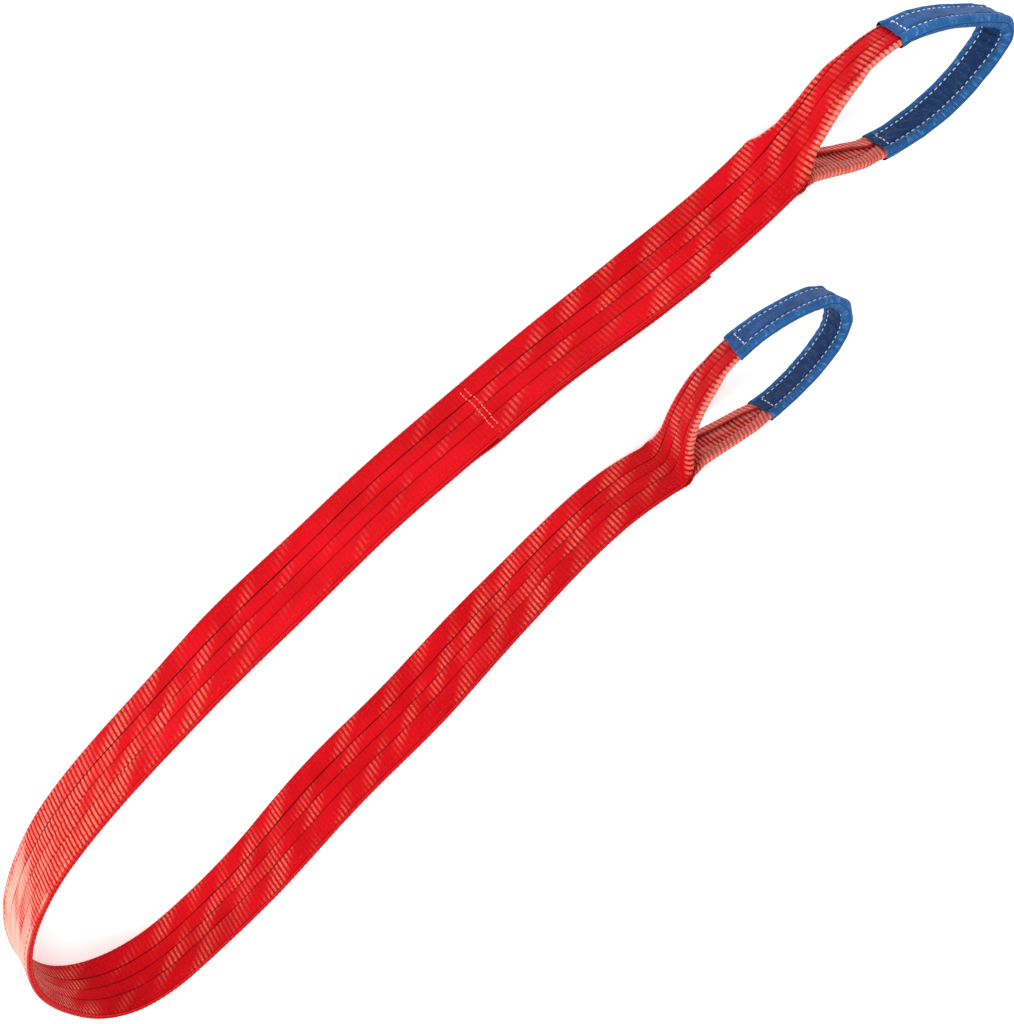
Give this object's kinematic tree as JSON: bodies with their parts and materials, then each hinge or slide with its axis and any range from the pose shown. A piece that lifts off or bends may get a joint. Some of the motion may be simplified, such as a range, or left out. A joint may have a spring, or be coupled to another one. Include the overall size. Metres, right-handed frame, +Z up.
{
  "type": "flat web sling",
  "caption": "Two-ply flat webbing lifting sling with a folded, sleeved eye at each end, lying as a hairpin and standing on its long edge.",
  "frame": {"origin": "middle of the sling's footprint, on the surface that its lower selvedge stands on", "axes": "+X along the legs towards the hairpin's bend, +Y from the near leg to the far leg, +Z up, across the width of the webbing"},
  "size_m": [1.3915, 0.3479, 0.09],
  "materials": {
    "webbing": "ribbed polyester webbing, low sheen",
    "sleeve": "plain woven sleeve, matt",
    "web_thread": "sewing thread, matt",
    "sleeve_thread": "sewing thread, matt"
  },
  "bodies": {
    "near_eye": {"near_eye_web": "webbing", "near_eye_sleeve": "sleeve", "near_eye_sleeve_stitches": "sleeve_thread"},
    "near_leg_a": {"near_leg_a_outer_ply": "webbing", "near_leg_a_return_ply": "webbing", "near_leg_a_inner_ply_end": "webbing", "near_leg_a_side_seams": "web_thread", "splice_seams": "web_thread", "near_root_seams": "web_thread"},
    "near_leg_b": {"near_leg_b_outer_ply": "webbing", "near_leg_b_inner_ply": "webbing", "near_leg_b_side_seams": "web_thread"},
    "near_leg_c": {"near_leg_c_outer_ply": "webbing", "near_leg_c_inner_ply": "webbing", "near_leg_c_side_seams": "web_thread"},
    "bend_1": {"bend_1_outer_ply": "webbing", "bend_1_inner_ply": "webbing", "bend_1_side_seams": "web_thread"},
    "bend_2": {"bend_2_outer_ply": "webbing", "bend_2_inner_ply": "webbing", "bend_2_side_seams": "web_thread"},
    "bend_3": {"bend_3_outer_ply": "webbing", "bend_3_inner_ply": "webbing", "bend_3_side_seams": "web_thread"},
    "bend_4": {"bend_4_outer_ply": "webbing", "bend_4_inner_ply": "webbing", "bend_4_side_seams": "web_thread"},
    "bend_5": {"bend_5_outer_ply": "webbing", "bend_5_inner_ply": "webbing", "bend_5_side_seams": "web_thread"},
    "bend_6": {"bend_6_outer_ply": "webbing", "bend_6_inner_ply": "webbing", "bend_6_side_seams": "web_thread"},
    "far_leg_c": {"far_leg_c_outer_ply": "webbing", "far_leg_c_inner_ply": "webbing", "far_leg_c_side_seams": "web_thread"},
    "far_leg_b": {"far_leg_b_outer_ply": "webbing", "far_leg_b_inner_ply": "webbing", "far_leg_b_side_seams": "web_thread"},
    "far_leg_a": {"far_leg_a_outer_ply": "webbing", "far_leg_a_inner_ply": "webbing", "far_leg_a_side_seams": "web_thread", "far_root_seams": "web_thread"},
    "far_eye": {"far_eye_web": "webbing", "far_eye_sleeve": "sleeve", "far_eye_sleeve_stitches": "sleeve_thread"}
  },
  "joints": [
    {"name": "bend_open", "type": "hinge", "parent": "bend_3", "child": "bend_2", "pos_m": [0.683, 0.01763, 0.045], "axis": [0, 0, 1], "range_deg": [-0.5, 28]},
    {"name": "bend_open_near_2", "type": "hinge", "parent": "bend_2", "child": "bend_1", "pos_m": [0.62473, -0.06716, 0.045], "axis": [0, 0, 1], "range_deg": [-0.5, 28]},
    {"name": "bend_open_near_3", "type": "hinge", "parent": "bend_1", "child": "near_leg_c", "pos_m": [0.53004, -0.11954, 0.045], "axis": [0, 0, 1], "range_deg": [-0.25, 14]},
    {"name": "near_leg_flex", "type": "hinge", "parent": "near_leg_c", "child": "near_leg_b", "pos_m": [0.25361, -0.15924, 0.045], "axis": [0, 0, 1], "range_deg": [-2, 20]},
    {"name": "near_leg_flex_2", "type": "hinge", "parent": "near_leg_b", "child": "near_leg_a", "pos_m": [-0.02607, -0.16571, 0.045], "axis": [0, 0, 1], "range_deg": [-2, 20]},
    {"name": "near_eye_swing", "type": "hinge", "parent": "near_leg_a", "child": "near_eye", "pos_m": [-0.4143, -0.1382, 0.045], "axis": [0, 0, 1], "range_deg": [-12, 45]},
    {"name": "bend_open_far_1", "type": "hinge", "parent": "bend_3", "child": "bend_4", "pos_m": [0.69098, 0.08456, 0.045], "axis": [0, 0, -1], "range_deg": [-0.5, 28]},
    {"name": "bend_open_far_2", "type": "hinge", "parent": "bend_4", "child": "bend_5", "pos_m": [0.67531, 0.12625, 0.045], "axis": [0, 0, -1], "range_deg": [-0.5, 28]},
    {"name": "bend_open_far_3", "type": "hinge", "parent": "bend_5", "child": "bend_6", "pos_m": [0.64162, 0.15538, 0.045], "axis": [0, 0, -1], "range_deg": [-0.5, 28]},
    {"name": "bend_open_far_4", "type": "hinge", "parent": "bend_6", "child": "far_leg_c", "pos_m": [0.5898, 0.16917, 0.045], "axis": [0, 0, -1], "range_deg": [-0.25, 14]},
    {"name": "far_leg_flex", "type": "hinge", "parent": "far_leg_c", "child": "far_leg_b", "pos_m": [0.27559, 0.13375, 0.045], "axis": [0, 0, -1], "range_deg": [-2, 20]},
    {"name": "far_leg_flex_2", "type": "hinge", "parent": "far_leg_b", "child": "far_leg_a", "pos_m": [0.01759, 0.10218, 0.045], "axis": [0, 0, -1], "range_deg": [-2, 20]},
    {"name": "far_eye_swing", "type": "hinge", "parent": "far_leg_a", "child": "far_eye", "pos_m": [-0.15958, 0.11657, 0.045], "axis": [0, 0, -1], "range_deg": [-8, 45]}
  ],
  "couplings": [
    {"joint": "bend_open_near_2", "follows": "bend_open", "ratio": 1},
    {"joint": "bend_open_near_3", "follows": "bend_open", "ratio": 0.5},
    {"joint": "bend_open_far_1", "follows": "bend_open", "ratio": 1},
    {"joint": "bend_open_far_2", "follows": "bend_open", "ratio": 1},
    {"joint": "bend_open_far_3", "follows": "bend_open", "ratio": 1},
    {"joint": "bend_open_far_4", "follows": "bend_open", "ratio": 0.5},
    {"joint": "near_leg_flex_2", "follows": "near_leg_flex", "ratio": 1},
    {"joint": "far_leg_flex_2", "follows": "far_leg_flex", "ratio": 1}
  ]
}
